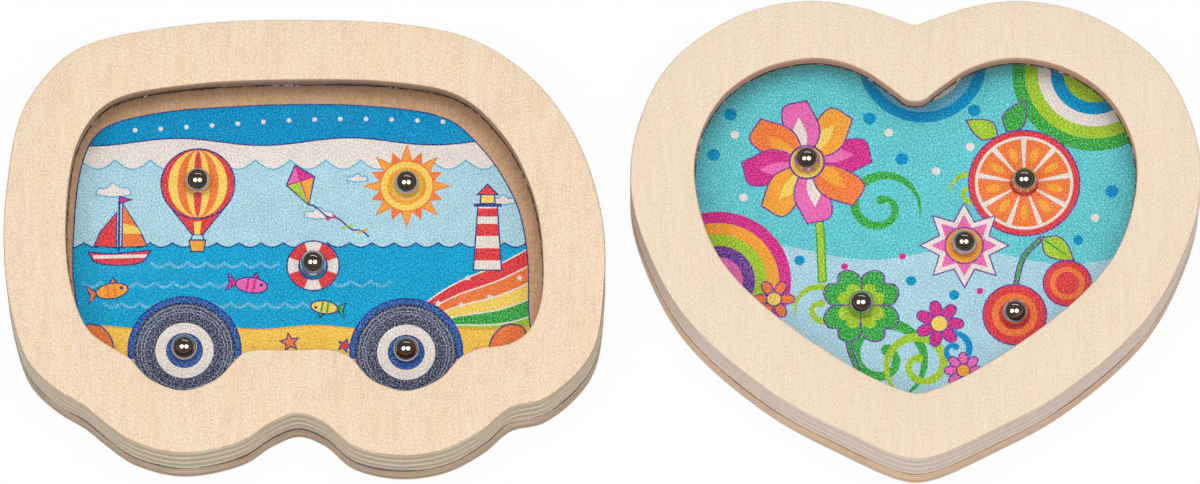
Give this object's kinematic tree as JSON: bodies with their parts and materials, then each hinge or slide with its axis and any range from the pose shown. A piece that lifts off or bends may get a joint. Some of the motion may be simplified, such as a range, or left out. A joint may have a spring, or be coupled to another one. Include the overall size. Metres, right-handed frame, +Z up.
{
  "type": "dexterity puzzle",
  "caption": "Pair of flat wooden ball-in-seat dexterity puzzles, one van-shaped and one heart-shaped, each with a clear window over a printed floor with seats for rolling steel balls.",
  "frame": {"origin": "centre of the pair's footprint, on the table under the back panels", "axes": "+X from the van-shaped puzzle to the heart-shaped one, along the pair; +Y away from the player, towards the top of both pictures; +Z up out of the windows"},
  "size_m": [0.2788, 0.1124, 0.019],
  "materials": {
    "van_birch": "fine sanded birch plywood, clear matt lacquer",
    "heart_birch": "fine sanded birch plywood, clear matt lacquer, a little creamier",
    "panel_ply": "thin plywood, sanded, bare edges",
    "clear_window": "clear acrylic sheet, polished",
    "van_print": "printed film, fine orange-peel grain",
    "heart_print": "printed film, fine orange-peel grain",
    "steel_ball": "polished bearing steel"
  },
  "bodies": {
    "van_puzzle": {"van_top_frame": "van_birch", "van_window": "clear_window", "van_picture": "van_print", "van_floor_panel": "panel_ply", "van_back_panel": "panel_ply"},
    "heart_puzzle": {"heart_top_frame": "heart_birch", "heart_window": "clear_window", "heart_picture": "heart_print", "heart_floor_panel": "panel_ply", "heart_back_panel": "panel_ply"},
    "van_ball_1": {"van_ball_1": "steel_ball"},
    "van_ball_2": {"van_ball_2": "steel_ball"},
    "van_ball_3": {"van_ball_3": "steel_ball"},
    "van_ball_4": {"van_ball_4": "steel_ball"},
    "van_ball_5": {"van_ball_5": "steel_ball"},
    "heart_ball_1": {"heart_ball_1": "steel_ball"},
    "heart_ball_2": {"heart_ball_2": "steel_ball"},
    "heart_ball_3": {"heart_ball_3": "steel_ball"},
    "heart_ball_4": {"heart_ball_4": "steel_ball"},
    "heart_ball_5": {"heart_ball_5": "steel_ball"}
  },
  "joints": [
    {"name": "heart_puzzle_lift", "type": "slide", "parent": "van_puzzle", "child": "heart_puzzle", "axis": [0, 0, 1], "range_m": [0, 0.1]},
    {"name": "van_ball_1_roll", "type": "hinge", "parent": "van_puzzle", "child": "van_ball_1", "pos_m": [-0.0912, 0.01487, 0.00601], "axis": [0, 1, 0], "range_deg": [0, 71.6]},
    {"name": "van_ball_2_roll", "type": "hinge", "parent": "van_puzzle", "child": "van_ball_2", "pos_m": [-0.04921, 0.0143, 0.00601], "axis": [0, -1, 0], "range_deg": [0, 71.6]},
    {"name": "van_ball_3_roll", "type": "hinge", "parent": "van_puzzle", "child": "van_ball_3", "pos_m": [-0.06757, -0.00192, 0.00601], "axis": [-1, 0, 0], "range_deg": [0, 71.6]},
    {"name": "van_ball_4_roll", "type": "hinge", "parent": "van_puzzle", "child": "van_ball_4", "pos_m": [-0.09737, -0.02269, 0.00601], "axis": [-1, 0, 0], "range_deg": [0, 71.6]},
    {"name": "van_ball_5_roll", "type": "hinge", "parent": "van_puzzle", "child": "van_ball_5", "pos_m": [-0.04576, -0.02314, 0.00601], "axis": [-1, 0, 0], "range_deg": [0, 71.6]},
    {"name": "heart_ball_1_roll", "type": "hinge", "parent": "heart_puzzle", "child": "heart_ball_1", "pos_m": [0.05112, 0.02019, 0.00601], "axis": [0, 1, 0], "range_deg": [0, 71.6]},
    {"name": "heart_ball_2_roll", "type": "hinge", "parent": "heart_puzzle", "child": "heart_ball_2", "pos_m": [0.09504, 0.01506, 0.00601], "axis": [0, -1, 0], "range_deg": [0, 71.6]},
    {"name": "heart_ball_3_roll", "type": "hinge", "parent": "heart_puzzle", "child": "heart_ball_3", "pos_m": [0.08093, -0.00033, 0.00601], "axis": [0, -1, 0], "range_deg": [0, 71.6]},
    {"name": "heart_ball_4_roll", "type": "hinge", "parent": "heart_puzzle", "child": "heart_ball_4", "pos_m": [0.06363, -0.01519, 0.00601], "axis": [0, 1, 0], "range_deg": [0, 71.6]},
    {"name": "heart_ball_5_roll", "type": "hinge", "parent": "heart_puzzle", "child": "heart_ball_5", "pos_m": [0.09597, -0.01392, 0.00601], "axis": [-1, 0, 0], "range_deg": [0, 71.6]}
  ]
}
